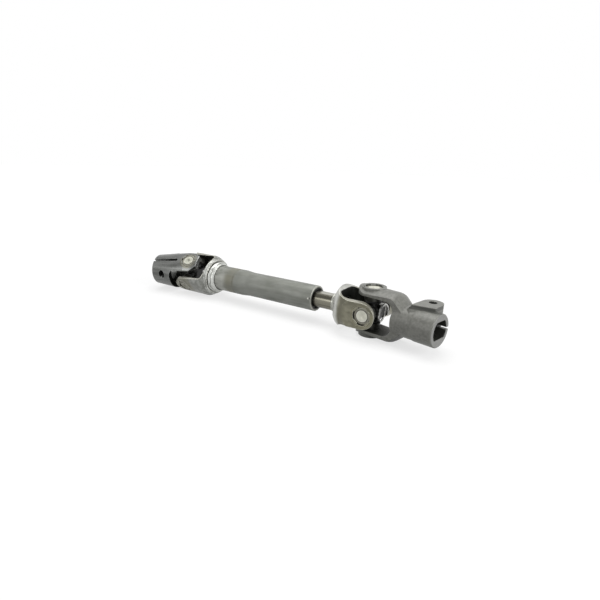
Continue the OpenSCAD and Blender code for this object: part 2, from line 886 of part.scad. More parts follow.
module gear_cup_top() { at_gear_yoke() cup(); }
module gear_cup_bottom() { at_gear_yoke() rotate([180, 0, 0]) cup(); }
module gear_yoke_needles() { at_gear_yoke() needle_set(); }

column_yoke();
column_cup_upper();
column_cup_lower();
column_yoke_needles();
column_cross();
column_seals();
tube_yoke();
tube_cup_front();
tube_cup_back();
tube_yoke_needles();
tube_weld();
outer_tube();
slide_bush();
slide_rod();
rod_weld();
shaft_yoke();
shaft_cup_near();
shaft_cup_far();
shaft_yoke_needles();
gear_cross();
gear_seals();
joint_spring();
gear_yoke();
gear_cup_top();
gear_cup_bottom();
gear_yoke_needles();
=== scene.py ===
"""Looks of a telescoping universal joint shaft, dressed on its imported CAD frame.

Bare steels with heat tints and tool marks, a rippled weld, a round-wire spring and a pale studio.
Lengths are metres in the CAD frame: +X along the tube towards the gear yoke, +Z up.
"""

import json
import logging
import math
from dataclasses import dataclass, field
from enum import Enum

import bpy
import numpy as np
from mathutils import Matrix, Vector


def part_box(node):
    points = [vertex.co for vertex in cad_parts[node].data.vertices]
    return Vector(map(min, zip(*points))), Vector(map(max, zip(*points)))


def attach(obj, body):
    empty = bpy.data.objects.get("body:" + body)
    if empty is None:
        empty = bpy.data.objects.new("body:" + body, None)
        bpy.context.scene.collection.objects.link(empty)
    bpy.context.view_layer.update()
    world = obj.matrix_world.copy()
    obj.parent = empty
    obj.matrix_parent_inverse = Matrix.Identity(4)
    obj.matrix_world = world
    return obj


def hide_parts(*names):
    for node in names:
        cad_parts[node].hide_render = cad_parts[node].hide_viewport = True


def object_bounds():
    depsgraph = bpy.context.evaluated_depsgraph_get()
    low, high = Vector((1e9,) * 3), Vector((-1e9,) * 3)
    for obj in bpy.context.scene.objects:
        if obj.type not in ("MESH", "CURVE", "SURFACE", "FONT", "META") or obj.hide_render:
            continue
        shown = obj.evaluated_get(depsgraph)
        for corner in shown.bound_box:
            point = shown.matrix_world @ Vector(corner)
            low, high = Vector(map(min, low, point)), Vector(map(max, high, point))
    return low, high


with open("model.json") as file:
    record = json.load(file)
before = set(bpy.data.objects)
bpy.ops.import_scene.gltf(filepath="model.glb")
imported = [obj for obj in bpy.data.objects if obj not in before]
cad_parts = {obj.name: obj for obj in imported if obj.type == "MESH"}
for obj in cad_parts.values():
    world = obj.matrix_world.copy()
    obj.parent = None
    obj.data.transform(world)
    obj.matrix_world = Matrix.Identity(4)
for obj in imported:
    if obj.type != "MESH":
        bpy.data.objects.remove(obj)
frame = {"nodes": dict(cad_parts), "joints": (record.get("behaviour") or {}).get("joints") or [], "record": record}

CAD_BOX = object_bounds()
MM = 0.001
IMAGE_PX = 600
SENSOR_MM = 36.0
BEVEL_SAMPLES = 6
SHELTER_SAMPLES = 8

# Clouds of colour: their stretch along the axis, and their size in patches
CLOUD_STRETCH = (2.6, 1.0, 1.0)
CLOUD_PATCHES = 2.5

# Share of the mottling in how dull a steel is, beside its tool marks
DULL_MOTTLE = 0.6

# Values between which a pattern or a mask goes from nothing to full
EDGE_SPAN = (0.985, 0.88)
TINT_SPAN = (0.35, 0.6)
MOTTLE_SPAN = (0.38, 0.62)
OPEN_SPAN = (0.35, 0.75)
DULL_SPAN = (0.55, 1.05)
BLOOM_SPAN = (0.4, 0.7)
SATIN_SPAN = (0.35, 0.65)
FIBRE_SPAN = (0.3, 0.7)

Rgb = tuple[float, float, float]
Triple = tuple[float, float, float]
Wave = tuple[int, float, float, float]
Pair = tuple[float, float]
Socket = bpy.types.NodeSocket

log = logging.getLogger("shaft")


class Grain(Enum):
    """How the tool marks of a steel run: the stretch of its pattern along, across and across its axis."""

    CAST = (1.0, 1.0, 1.0)
    DRAWN = (40.0, 1.0, 1.0)
    TURNED = (0.25, 6.0, 6.0)


class Measure(Enum):
    """What a tint is measured by.

    Place along an axis, reach to either side, distance off the axis, or a cosine: how squarely a face looks
    at the axis's origin, or along the axis.
    """

    ALONG = "along"
    REACH = "reach"
    OFF_AXIS = "off_axis"
    INWARD = "inward"
    FACING = "facing"


@dataclass(frozen=True)
class Axis:
    """A line in the frame.

    Attributes:
        origin: A point on the line.
        direction: The line's unit vector.
    """

    origin: Triple
    direction: Triple

    @property
    def turn(self) -> Triple:
        """Euler angles that carry the X axis onto the line."""
        return tuple(Vector(self.direction).to_track_quat("X", "Z").to_euler())

    def ends(self, node: str) -> Pair:
        """First and last place of a CAD node along the line, from its origin."""
        along = (vertices_of(node) - self.origin) @ np.array(self.direction)
        return float(along.min()), float(along.max())


def vertices_of(node: str) -> np.ndarray:
    """Vertices of a CAD node.

    Args:
        node: Name of the CAD node.

    Returns:
        An n by 3 array.
    """
    mesh = frame["nodes"][node].data
    flat = np.empty(len(mesh.vertices) * 3, np.float32)
    mesh.vertices.foreach_get("co", flat)
    return flat.reshape(-1, 3).astype(float)


def joint_axis(name: str, at: str | None = None) -> Axis:
    """Axis of a named joint, moved to the centre of another where one is given."""
    joints = {joint["name"]: joint for joint in frame["joints"]}
    return Axis(tuple(joints[at or name]["pos_m"]), tuple(joints[name]["axis"]))


def mount_axis(name: str) -> Axis:
    """Axis of a named mount, which points out of its mouth."""
    mounts = {mount["name"]: mount for mount in frame["record"]["mounts"]}
    return Axis(tuple(mounts[name]["pos_m"]), tuple(mounts[name]["axis"]))


class Graph:
    """Node tree, with short calls for the nodes that most looks share."""

    def __init__(self, tree: bpy.types.NodeTree) -> None:
        """Takes up a node tree."""
        self.tree = tree

    def add(self, kind: str, fed: dict[str | int, object] | None = None,
            **settings: object) -> bpy.types.Node:
        """Adds a node.

        Args:
            kind: Blender's name of the node type.
            fed: What its inputs are fed with, by their names or numbers.
            **settings: Properties to set on it.

        Returns:
            The node.
        """
        node = self.tree.nodes.new(kind)
        for key, value in settings.items():
            setattr(node, key, value)
        for key, value in (fed or {}).items():
            self.feed(node.inputs[key], value)
        return node

    def feed(self, socket: Socket, value: object) -> None:
        """Links a socket to another, or sets its value; a colour of three numbers is made opaque.

        Args:
            socket: The input to feed.
            value: A socket, a number, a vector or a colour.
        """
        if isinstance(value, Socket):
            self.tree.links.new(value, socket)
        elif socket.type == "RGBA":
            socket.default_value = (*value, 1.0)
        else:
            socket.default_value = value

    def math(self, step: str, a: object, b: object = 0.0) -> Socket:
        """Result of a step on two numbers."""
        return self.add("ShaderNodeMath", {0: a, 1: b}, operation=step).outputs[0]

    def vector(self, step: str, a: object, b: object = (0.0, 0.0, 0.0)) -> Socket:
        """Result of a step on two vectors, a number for lengths and dot products."""
        node = self.add("ShaderNodeVectorMath", {0: a, 1: b}, operation=step)
        return node.outputs["Value" if step in ("DOT_PRODUCT", "LENGTH") else "Vector"]

    def noise(self, where: Socket, size: float, detail: float) -> Socket:
        """Cloudy pattern around one half, with patches of a size and a number of finer layers."""
        fed = {"Vector": where, "Scale": 1.0 / size, "Detail": detail}
        return self.add("ShaderNodeTexNoise", fed).outputs[0]

    def span(self, value: object, low: float, high: float, start: float = 0.0, end: float = 1.0) -> Socket:
        """Smooth step from a start to an end, while a value goes from low to high."""
        fed = dict(enumerate((value, low, high, start, end)))
        return self.add("ShaderNodeMapRange", fed, interpolation_type="SMOOTHSTEP").outputs["Result"]

    def mix(self, share: object, first: object, second: object) -> Socket:
        """Blend of two colours.

        Args:
            share: Share of the second colour.
            first: Colour at a share of zero.
            second: Colour at a share of one.

        Returns:
            The blend's socket.
        """
        node = self.add("ShaderNodeMix", {0: share}, data_type="RGBA")
        inputs = (socket for socket in node.inputs if socket.type == "RGBA")
        for socket, colour in zip(inputs, (first, second)):
            self.feed(socket, colour)
        return next(socket for socket in node.outputs if socket.type == "RGBA")


class Paint(Graph):
    """Node tree of one material, about a Principled shader."""

    def __init__(self, name: str) -> None:
        """Starts a material.

        Args:
            name: Name of the material.
        """
        self.material = bpy.data.materials.new(name)
        self.material.use_nodes = True
        super().__init__(self.material.node_tree)
        self.tree.nodes.clear()
        self.shader = self.add("ShaderNodeBsdfPrincipled")
        self.add("ShaderNodeOutputMaterial", {"Surface": self.shader.outputs["BSDF"]})
        self.place = self.add("ShaderNodeTexCoord").outputs["Object"]

    def give(self, **values: object) -> None:
        """Feeds the shader's inputs, named with underscores for spaces."""
        for name, value in values.items():
            self.feed(self.shader.inputs[name.replace("_", " ")], value)

    def normal(self) -> Socket:
        """The face's normal."""
        return self.add("ShaderNodeNewGeometry").outputs["Normal"]

    def facing(self) -> Socket:
        """The face's normal, turned with the piece when it moves."""
        return self.add("ShaderNodeVectorTransform", {"Vector": self.normal()}, vector_type="NORMAL",
                        convert_from="WORLD", convert_to="OBJECT").outputs["Vector"]

    def measure(self, axis: Axis, kind: Measure) -> Socket:
        """Place of the surface about an axis.

        Args:
            axis: The axis.
            kind: What is measured.

        Returns:
            The distance or the cosine.
        """
        if kind is Measure.FACING:
            return self.vector("DOT_PRODUCT", self.facing(), axis.direction)
        arm = self.vector("SUBTRACT", self.place, axis.origin)
        if kind is Measure.INWARD:
            away = self.vector("DOT_PRODUCT", self.vector("NORMALIZE", arm), self.facing())
            return self.math("MULTIPLY", away, -1.0)
        if kind is Measure.OFF_AXIS:
            return self.vector("LENGTH", self.vector("CROSS_PRODUCT", arm, axis.direction))
        along = self.vector("DOT_PRODUCT", arm, axis.direction)
        return self.math("ABSOLUTE", along) if kind is Measure.REACH else along

    def local(self, axis: Axis, scale: Triple) -> Socket:
        """Coordinates with X along an axis, and a pattern that is longer by a scale on each side."""
        fed = {"Vector": self.place, "Location": axis.origin, "Rotation": axis.turn, "Scale": scale}
        return self.add("ShaderNodeMapping", fed, vector_type="TEXTURE").outputs["Vector"]

    def edges(self, radius: float) -> tuple[Socket, Socket]:
        """Rounded edges: the softened normal, and how far it leaves the face's own normal.

        Args:
            radius: Radius of the rounding.

        Returns:
            The normal's socket and a mask that is one on an edge.
        """
        soft = self.add("ShaderNodeBevel", {"Radius": radius}, samples=BEVEL_SAMPLES).outputs["Normal"]
        agree = self.vector("DOT_PRODUCT", soft, self.normal())
        return soft, self.span(agree, *EDGE_SPAN)

    def shelter(self, reach: float) -> Socket:
        """How closed in the surface is by surroundings within a reach: zero in the open."""
        node = self.add("ShaderNodeAmbientOcclusion", {"Distance": reach}, samples=SHELTER_SAMPLES)
        return self.math("SUBTRACT", 1.0, node.outputs["AO"])

    def bump(self, height: object, depth: float, normal: Socket) -> Socket:
        """A normal with the relief of a pattern on it, of a depth."""
        fed = {"Distance": depth, "Height": height, "Normal": normal}
        return self.add("ShaderNodeBump", fed).outputs["Normal"]


@dataclass(frozen=True)
class Limit:
    """Where a tint lies: between two places of one measure, with soft borders.

    Attributes:
        axis: Axis that is measured from.
        measure: What is measured.
        low: Where the tint begins, as a length or as a cosine.
        high: Where it ends.
        fade: Half the width of its borders.
    """

    axis: Axis
    measure: Measure
    low: float
    high: float
    fade: float

    def mask(self, graph: Paint) -> Socket:
        """Share of the tint that this limit lets through.

        Args:
            graph: The material's graph.

        Returns:
            One between the two places, nothing outside them.
        """
        place = graph.measure(self.axis, self.measure)
        rise = graph.span(place, self.low - self.fade, self.low + self.fade)
        fall = graph.span(place, self.high - self.fade, self.high + self.fade, 1.0, 0.0)
        return graph.math("MULTIPLY", rise, fall)


@dataclass(frozen=True)
class Tint:
    """A colour laid over a finish where all its limits hold.

    Attributes:
        limits: Where it lies.
        colour: Its colour.
        share: How strong it is.
        patchy: How much a cloudy pattern breaks it up.
    """

    limits: tuple[Limit, ...]
    colour: Rgb
    share: float = 1.0
    patchy: float = 0.0

    def over(self, graph: Paint, colour: object, cloud: Socket) -> Socket:
        """Lays the tint over a colour.

        Args:
            graph: The material's graph.
            colour: Colour below.
            cloud: Cloudy pattern around one half.

        Returns:
            The tinted colour's socket.
        """
        mask = graph.span(cloud, *TINT_SPAN, self.share * (1.0 - self.patchy), self.share)
        for limit in self.limits:
            mask = graph.math("MULTIPLY", mask, limit.mask(graph))
        return graph.mix(mask, colour, self.colour)


@dataclass(frozen=True)
class Steel:
    """Bare steel: mottled colour, tool marks, a painted highlight on open edges and painted shade where it is
    closed in.

    Attributes:
        name: Name of the material.
        colour: Main colour.
        shade: Colour of its darker patches.
        edge: Colour of the painted highlight on open edges.
        corner_shade: Colour of the painted shade in sheltered corners.
        metallic: How far it reflects as metal.
        polish: Roughness of its smooth and of its dull patches.
        grain: How its tool marks run.
        patch: Size of a patch of colour.
        cloudy: Share of wide clouds in its patches.
        mark: Size of a tool mark.
        depth: Depth of a tool mark.
        rounding: Radius of its edges.
        hollow: How near surroundings make a sheltered corner.
        sheltered: How closed in a corner is where its painted shade begins, and where it is full.
        corner_shade_share: Share of the painted shade at the most sheltered corner.
        edge_highlight: Share of the edge colour, a painted highlight, on an open edge.
        tints: Tints laid over the colour.
    """

    name: str
    colour: Rgb
    shade: Rgb
    edge: Rgb
    corner_shade: Rgb = (0.010, 0.011, 0.009)
    metallic: float = 0.7
    polish: Pair = (0.24, 0.4)
    grain: Grain = Grain.CAST
    patch: float = 3 * MM
    cloudy: float = 0.3
    mark: float = 0.5 * MM
    depth: float = 0.008 * MM
    rounding: float = 0.5 * MM
    hollow: float = 14 * MM
    sheltered: Pair = (0.42, 0.85)
    corner_shade_share: float = 0.95
    edge_highlight: float = 0.75
    tints: tuple[Tint, ...] = ()

    def material(self, axis: Axis) -> bpy.types.Material:
        """Builds the material.

        Args:
            axis: Axis that its tool marks follow.

        Returns:
            The material.
        """
        graph = Paint(self.name)
        where = graph.local(axis, self.grain.value)
        cloud = graph.noise(graph.local(axis, CLOUD_STRETCH), self.patch * CLOUD_PATCHES, detail=3.0)
        mottle = graph.noise(where, self.patch, detail=6.0)
        marks = graph.noise(where, self.mark, detail=2.0)
        fine = graph.math("MULTIPLY", mottle, 1.0 - self.cloudy)
        blend = graph.math("ADD", fine, graph.math("MULTIPLY", cloud, self.cloudy))
        colour = graph.mix(graph.span(blend, *MOTTLE_SPAN), self.shade, self.colour)
        normal, edge = graph.edges(self.rounding)
        shelter = graph.shelter(self.hollow)
        # Painted highlight on open rounded edges, where light catches them
        lit_edge = graph.math("MULTIPLY", edge, graph.span(shelter, *OPEN_SPAN, self.edge_highlight, 0.0))
        colour = graph.mix(lit_edge, colour, self.edge)
        for tint in self.tints:
            colour = tint.over(graph, colour, cloud)
        # Painted shade: darker the more closed in the surface is
        colour = graph.mix(graph.span(shelter, *self.sheltered, 0.0, self.corner_shade_share), colour, self.corner_shade)
        dull = graph.math("ADD", graph.math("MULTIPLY", mottle, DULL_MOTTLE), marks)
        graph.give(
            Base_Color=colour,
            Metallic=self.metallic,
            Roughness=graph.span(dull, *DULL_SPAN, *self.polish),
            Normal=graph.bump(marks, self.depth, normal),
        )
        return graph.material


@dataclass(frozen=True)
class Moulding:
    """Black rubber or plastic with a fine moulded grain and a dusty bloom.

    Attributes:
        name: Name of the material.
        colour: Main colour.
        bloom: Colour of its dusty patches.
        polish: Roughness of its smooth and of its dull patches.
        patch: Size of a dusty patch.
        mark: Size of the grain.
        depth: Depth of the grain.
    """

    name: str
    colour: Rgb
    bloom: Rgb
    polish: Pair = (0.42, 0.7)
    patch: float = 3 * MM
    mark: float = 0.4 * MM
    depth: float = 0.02 * MM

    def material(self, axis: Axis) -> bpy.types.Material:
        """Builds the material.

        Args:
            axis: Axis that its pattern is set on.

        Returns:
            The material.
        """
        graph = Paint(self.name)
        where = graph.local(axis, Grain.CAST.value)
        cloud = graph.noise(where, self.patch, detail=5.0)
        marks = graph.noise(where, self.mark, detail=2.0)
        normal, _ = graph.edges(self.mark)
        graph.give(
            Base_Color=graph.mix(graph.span(cloud, *BLOOM_SPAN), self.colour, self.bloom),
            Roughness=graph.span(cloud, *SATIN_SPAN, *self.polish),
            Normal=graph.bump(marks, self.depth, normal),
        )
        return graph.material


TUBE_AXIS = joint_axis("slide", at="column_swing")
GEAR_CENTRE = joint_axis("gear_pitch").origin
TRUNNIONS = {
    "tube": joint_axis("column_swing"),
    "column": joint_axis("column_bend"),
    "shaft": joint_axis("gear_pitch"),
    "gear": joint_axis("gear_yaw"),
}
STRAW: Rgb = (0.24, 0.225, 0.15)
BRIGHT: Rgb = (0.60, 0.61, 0.59)
CREAM: Rgb = (0.74, 0.735, 0.63)
RIM: Rgb = (0.74, 0.73, 0.65)
BROWN: Rgb = (0.16, 0.15, 0.115)
# Colour of the painted shade in bores, hollows and the insides of forks
DARK: Rgb = (0.013, 0.014, 0.011)

# Past any length of the object, and past any cosine
ANYWHERE = 1.0
ANY_COSINE = 2.0


def dress(material: bpy.types.Material, *nodes: str) -> None:
    """Puts a material on CAD nodes.

    Args:
        material: The material.
        *nodes: Names of the CAD nodes.
    """
    for node in nodes:
        mesh = frame["nodes"][node].data
        mesh.materials.clear()
        mesh.materials.append(material)


def add_piece(name: str, points: np.ndarray, faces: list[list[int]]) -> bpy.types.Object:
    """Makes a smooth-shaded mesh object at the origin.

    Args:
        name: Name of the piece.
        points: Its n by 3 vertices.
        faces: Vertex numbers of each face.

    Returns:
        The object.
    """
    mesh = bpy.data.meshes.new(name)
    mesh.from_pydata(points.tolist(), [], faces)
    mesh.polygons.foreach_set("use_smooth", np.ones(len(mesh.polygons), bool))
    mesh.update()
    piece = bpy.data.objects.new(name, mesh)
    bpy.context.scene.collection.objects.link(piece)
    return piece


def grid_faces(rows: int, columns: int, closed_rows: bool) -> list[list[int]]:
    """Quads of a grid that closes round its columns.

    Args:
        rows: Number of rows.
        columns: Number of points in a row.
        closed_rows: Whether the last row joins the first.

    Returns:
        Four vertex numbers for each quad.
    """
    row = np.arange(rows if closed_rows else rows - 1)[:, None]
    column = np.arange(columns)[None, :]
    following, beside = (row + 1) % rows, (column + 1) % columns
    corners = [row * columns + column, row * columns + beside,
               following * columns + beside, following * columns + column]
    return np.stack(np.broadcast_arrays(*corners), -1).reshape(-1, 4).tolist()


def inner_shade(trunnion: Axis, share: float) -> Tint:
    """Painted shade on the faces of a fork that look at its joint's centre."""
    return Tint((Limit(trunnion, Measure.INWARD, 0.35, ANY_COSINE, 0.2),), DARK, share)


def rim_highlight(trunnion: Axis, line: Limit, colour: Rgb, share: float) -> Tint:
    """Painted highlight on the edge faces of a fork's ears, the faces that look across its trunnion."""
    return Tint((Limit(trunnion, Measure.FACING, -0.4, 0.4, 0.15), line), colour, share, 0.2)


def ring(axis: Axis, low: float, high: float, fade: float) -> tuple[Limit, ...]:
    """Limit of a ring round an axis, or of a disc where the inner radius is negative."""
    return (Limit(axis, Measure.OFF_AXIS, low, high, fade),)


def stretch(axis: Axis, low: float, high: float, fade: float) -> tuple[Limit, ...]:
    """Limit of a stretch along an axis, between two places from its origin."""
    return (Limit(axis, Measure.ALONG, low, high, fade),)


@dataclass
class SpringWire:
    """Coil spring of round wire about the gear cross's spigot.

    Attributes:
        body: Body that carries it.
        node: CAD node that it stands for.
        wire_d: Diameter of the wire.
        mean_d: Mean diameter of the coils.
        pitch: Distance between coils.
        coils: Number of coils.
        start: Distance from the joint's centre to the first coil.
        lead: Straight length at the seated end.
        leg: Straight length at the free end.
        upright: The cross's own vertical.
        sides: Number of points round the wire.
        per_coil: Number of steps along a coil.
        end_steps: Number of steps along the lead and along the leg.
    """

    body: str = "gear_cross"
    node: str = "joint_spring"
    wire_d: float = 1.7 * MM
    mean_d: float = 14.4 * MM
    pitch: float = 2.8 * MM
    coils: float = 1.25
    start: float = 7.15 * MM
    lead: float = 1.7 * MM
    leg: float = 3.0 * MM
    upright: Axis = TRUNNIONS["gear"]
    sides: int = 20
    per_coil: int = 64
    end_steps: tuple[int, int] = (6, 8)

    def path(self) -> tuple[np.ndarray, np.ndarray]:
        """Centre line: a helix about the cross's X axis, run out along its tangent at both ends.

        Returns:
            Points and unit tangents, both n by 3, in the cross's own frame.
        """
        coil = np.linspace(0.0, self.coils, int(self.per_coil * self.coils))
        turn = 2 * math.pi * coil
        radius = self.mean_d / 2
        points = np.c_[self.start + self.pitch * coil, radius * np.sin(turn), radius * np.cos(turn)]
        rise = np.full_like(turn, self.pitch / (2 * math.pi))
        tangents = np.c_[rise, radius * np.cos(turn), -radius * np.sin(turn)]
        tangents /= np.linalg.norm(tangents, axis=1)[:, None]
        head = points[0] - np.outer(np.linspace(self.lead, 0.0, self.end_steps[0])[:-1], tangents[0])
        tail = points[-1] + np.outer(np.linspace(0.0, self.leg, self.end_steps[1])[1:], tangents[-1])
        line = np.concatenate([head, points, tail])
        ends = (np.repeat(tangents[:1], len(head), 0), np.repeat(tangents[-1:], len(tail), 0))
        return line, np.concatenate([ends[0], tangents, ends[1]])

    def build(self) -> bpy.types.Object:
        """Carries a circle along the centre line, with a flat cut end at both ends.

        Returns:
            The spring, riding on its body.
        """
        line, tangents = self.path()
        across = np.cross(tangents, [1.0, 0.0, 0.0])
        across /= np.linalg.norm(across, axis=1)[:, None]
        along = np.cross(tangents, across)
        turn = np.linspace(0.0, 2 * math.pi, self.sides, endpoint=False)[None, :, None]
        rings = line[:, None] + self.wire_d / 2 * (
            np.cos(turn) * across[:, None] + np.sin(turn) * along[:, None])
        tilt = Vector((0.0, 0.0, 1.0)).rotation_difference(Vector(self.upright.direction)).to_matrix()
        points = rings.reshape(-1, 3) @ np.array(tilt).T + np.array(self.upright.origin)
        last = (len(line) - 1) * self.sides
        caps = [list(range(self.sides))[::-1], list(range(last, last + self.sides))]
        spring = add_piece("spring_wire", points, grid_faces(len(line), self.sides, False) + caps)
        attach(spring, self.body)
        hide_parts(self.node)
        return spring

    def dress(self, spring: bpy.types.Object) -> None:
        """Gives the wire a bright drawn finish.

        Args:
            spring: The spring.
        """
        finish = Steel("spring_bright", (0.82, 0.82, 0.79), (0.66, 0.66, 0.63), BRIGHT, metallic=0.45,
                       polish=(0.18, 0.32), patch=2 * MM, mark=0.3 * MM, depth=0.005 * MM,
                       rounding=0.1 * MM, hollow=3 * MM, corner_shade_share=0.3)
        spring.data.materials.append(finish.material(Axis(GEAR_CENTRE, TUBE_AXIS.direction)))


def turned_ring(name: str, start: float, length: float, outer: np.ndarray,
                inner: np.ndarray) -> bpy.types.Object:
    """Closed ring about the tube, with its outside and its inside given as radii.

    Args:
        name: Name of the piece.
        start: Where it begins, along the tube from the column joint.
        length: Its length.
        outer: Radius of the outside, a row for each step along the ring, a column for each angle.
        inner: Radius of the inside at its first and its last step.

    Returns:
        The ring.
    """
    steps, around = outer.shape
    angle = np.linspace(0.0, 2 * math.pi, around, endpoint=False)
    share = np.concatenate([np.linspace(0.0, 1.0, steps), [1.0, 0.0]])[:, None]
    radius = np.concatenate([outer, np.repeat(inner[::-1, None], around, 1)])
    along = np.broadcast_to(start + length * share, radius.shape)
    points = np.stack([along, radius * np.cos(angle), radius * np.sin(angle)], -1).reshape(-1, 3)
    faces = [face[::-1] for face in grid_faces(steps + 2, around, True)]
    return add_piece(name, points + np.array(TUBE_AXIS.origin), faces)


def ring_grid(steps: int, around: int = 240) -> tuple[np.ndarray, np.ndarray]:
    """Column of shares along a ring, from zero to one, and row of angles round it."""
    angle = np.linspace(0.0, 2 * math.pi, around, endpoint=False)
    return np.linspace(0.0, 1.0, steps)[:, None], angle[None, :]


def waves(parts: tuple[Wave, ...], share: np.ndarray, angle: np.ndarray) -> np.ndarray:
    """Sum of sine waves round a ring, each given by its count, its size, its phase and its lean along it."""
    return sum(size * np.sin(count * angle + phase + lean * share) for count, size, phase, lean in parts)


def weld_skin(name: str, light: Rgb, dull: Rgb) -> Steel:
    """Skin of cooled weld metal in two colours, with painted shade between its passes."""
    # Painted shade in the creases between the passes
    return Steel(name, light, dull, BRIGHT, corner_shade=(0.07, 0.07, 0.06), patch=4 * MM, hollow=2.2 * MM,
                 sheltered=(0.06, 0.30), corner_shade_share=1.0)


@dataclass
class WeldBead:
    """Weld between the tube and its yoke, laid in passes that step down to the tube.

    Attributes:
        body: Body that carries it.
        node: CAD node that it stands for.
        passes: Number of passes side by side.
        crown: Height of a pass.
        seat: Gap between the bead and the tube.
        toe: Height of the bead where it ends on the tube.
        waver: Share of a pass that its line wanders.
        swing: Waves of that line.
        fill: Mean share of the crown that a pass reaches.
        lumps: Waves of its height about that share.
        steps: Number of steps along the bead.
    """

    body: str = "tube"
    node: str = "tube_weld"
    passes: int = 2
    crown: float = 0.9 * MM
    seat: float = 0.02 * MM
    toe: float = 0.6 * MM
    waver: float = 0.26
    swing: tuple[Wave, ...] = ((2, 1.0, 0.7, 0.0), (5, 0.6, 2.1, 0.0), (11, 0.3, 0.0, 0.0))
    fill: float = 0.78
    lumps: tuple[Wave, ...] = ((7, 0.18, 0.0, 5.0), (60, 0.03, 0.0, 9.0))
    steps: int = 72

    def build(self) -> bpy.types.Object:
        """Turns the bead's section round the tube; each pass is a half wave that wanders with the angle.

        Returns:
            The bead, riding on its body.
        """
        low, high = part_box(self.node)
        start, end = TUBE_AXIS.ends(self.node)
        top = (high[2] - low[2]) / 2 - self.crown
        tube_low, tube_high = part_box("outer_tube")
        inner = (tube_high[2] - tube_low[2]) / 2 + self.seat
        share, angle = ring_grid(self.steps)
        swing = waves(self.swing, share, angle)
        wander = self.waver * swing * share * (1 - share) * 4
        wave = np.abs(np.sin(math.pi * (self.passes * share + wander)))
        height = self.fill + waves(self.lumps, share, angle)
        outer = top + (inner + self.toe - top) * share + self.crown * wave * height
        bead = turned_ring("weld_bead", start, end - start, outer, np.array([inner, inner]))
        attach(bead, self.body)
        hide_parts(self.node)
        return bead


@dataclass
class BellRipples:
    """Ripples that the weld's heat leaves round the yoke's cone, just before the weld.

    Attributes:
        body: Body that carries them.
        start: Where they begin, along the tube from the column joint.
        end: Where they end, at the weld.
        end_r: Radius of the cone at its end.
        slope: Rise of the cone's radius for each length back from its end.
        crown: Height of a ripple.
        root: Depth of their foot below the cone.
        sink: Depth of a valley below the cone.
        count: Number of ripples.
        waver: Share of a ripple that its line wanders.
        swing: Waves of that line.
        rise: Slope of their growth from the start, in crowns for the whole length.
        swell: Waves of their height round the cone.
        mean: Share of the crown that the swell goes about.
        steps: Number of steps along them.
    """

    body: str = "tube"
    start: float = 29.9 * MM
    end: float = 32.95 * MM
    end_r: float = 16.7 * MM
    slope: float = 0.54
    crown: float = 0.65 * MM
    root: float = 0.5 * MM
    sink: float = 0.06 * MM
    count: float = 1.9
    waver: float = 0.3
    swing: tuple[Wave, ...] = ((3, 1.0, 1.1, 0.0), (7, 0.6, 0.4, 0.0), (13, 0.3, 0.0, 0.0))
    rise: float = 3.5
    swell: tuple[Wave, ...] = ((2, 0.25, 0.5, 0.0),)
    mean: float = 0.75
    steps: int = 48

    def build(self) -> bpy.types.Object:
        """Lays rounded waves on the cone: a squared sine along it, pushed to and fro with the angle.

        Returns:
            The ripples, riding on their body.
        """
        share, angle = ring_grid(self.steps)
        length = self.end - self.start
        swing = waves(self.swing, share, angle)
        wave = np.sin(math.pi * (self.count * share + self.waver * swing)) ** 2
        swell = self.mean + waves(self.swell, share, angle)
        cone = self.end_r + self.slope * length * (1 - share)
        outer = cone - self.sink + self.crown * wave * swell * np.minimum(1.0, self.rise * share)
        inner = cone[[0, -1], 0] - self.root
        ripples = turned_ring("bell_ripples", self.start, length, outer, inner)
        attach(ripples, self.body)
        return ripples


@dataclass(frozen=True)
class CupFinish:
    """Finish of two bearing cups: smooth disc with a painted highlight on its lip, painted shade in its dimple and
    groove, a browner ring, and painted shade on its side.

    Attributes:
        disc: Colour of the disc.
        rim: Colour of the ring round it.
        dimple: Share of the painted shade in the dimple at the centre.
        dimple_r: Radius of the dimple.
        lip_r: Radii of the lip.
        groove_r: Radii of the groove.
        rim_r: Radii of the ring.
        side: Depth below the disc at which the painted shade on the side begins.
        dulled: Share of the disc's colour in its darker patches.
    """

    disc: Rgb
    rim: Rgb
    dimple: float
    dimple_r: float = 1.9 * MM
    lip_r: Pair = (4.35 * MM, 4.75 * MM)
    groove_r: Pair = (4.8 * MM, 5.5 * MM)
    rim_r: Pair = (5.3 * MM, 8.0 * MM)
    side: float = 2.2 * MM
    dulled: float = 0.84

    def dress(self, trunnion: Axis, *nodes: str) -> None:
        """Dresses both cups.

        Args:
            trunnion: Axis of the cups.
            *nodes: Their CAD nodes.
        """
        face = max(abs(end) for end in trunnion.ends(nodes[0]))
        # Painted shade in the dimple, in the groove and down the side; a painted highlight on the lip
        tints = (
            Tint(ring(trunnion, -ANYWHERE, self.dimple_r, 0.7 * MM), (0.09, 0.09, 0.07), self.dimple, 0.3),
            Tint(ring(trunnion, *self.lip_r, 0.2 * MM), (0.86, 0.86, 0.80), 0.7, 0.5),
            Tint(ring(trunnion, *self.groove_r, 0.15 * MM), (0.10, 0.095, 0.07), 0.8),
            Tint(ring(trunnion, *self.rim_r, 0.3 * MM), self.rim, 0.85, 0.3),
            Tint((Limit(trunnion, Measure.REACH, -ANYWHERE, face - self.side, 0.3 * MM),), DARK, 0.9),
        )
        shade = tuple(self.dulled * part for part in self.disc)
        finish = Steel(f"{nodes[0]}_steel", self.disc, shade, BRIGHT, metallic=0.35, polish=(0.3, 0.42),
                       patch=4 * MM, mark=0.4 * MM, depth=0.003 * MM, rounding=0.3 * MM,
                       hollow=3 * MM, corner_shade_share=0.7, tints=tints)
        dress(finish.material(trunnion), *nodes)


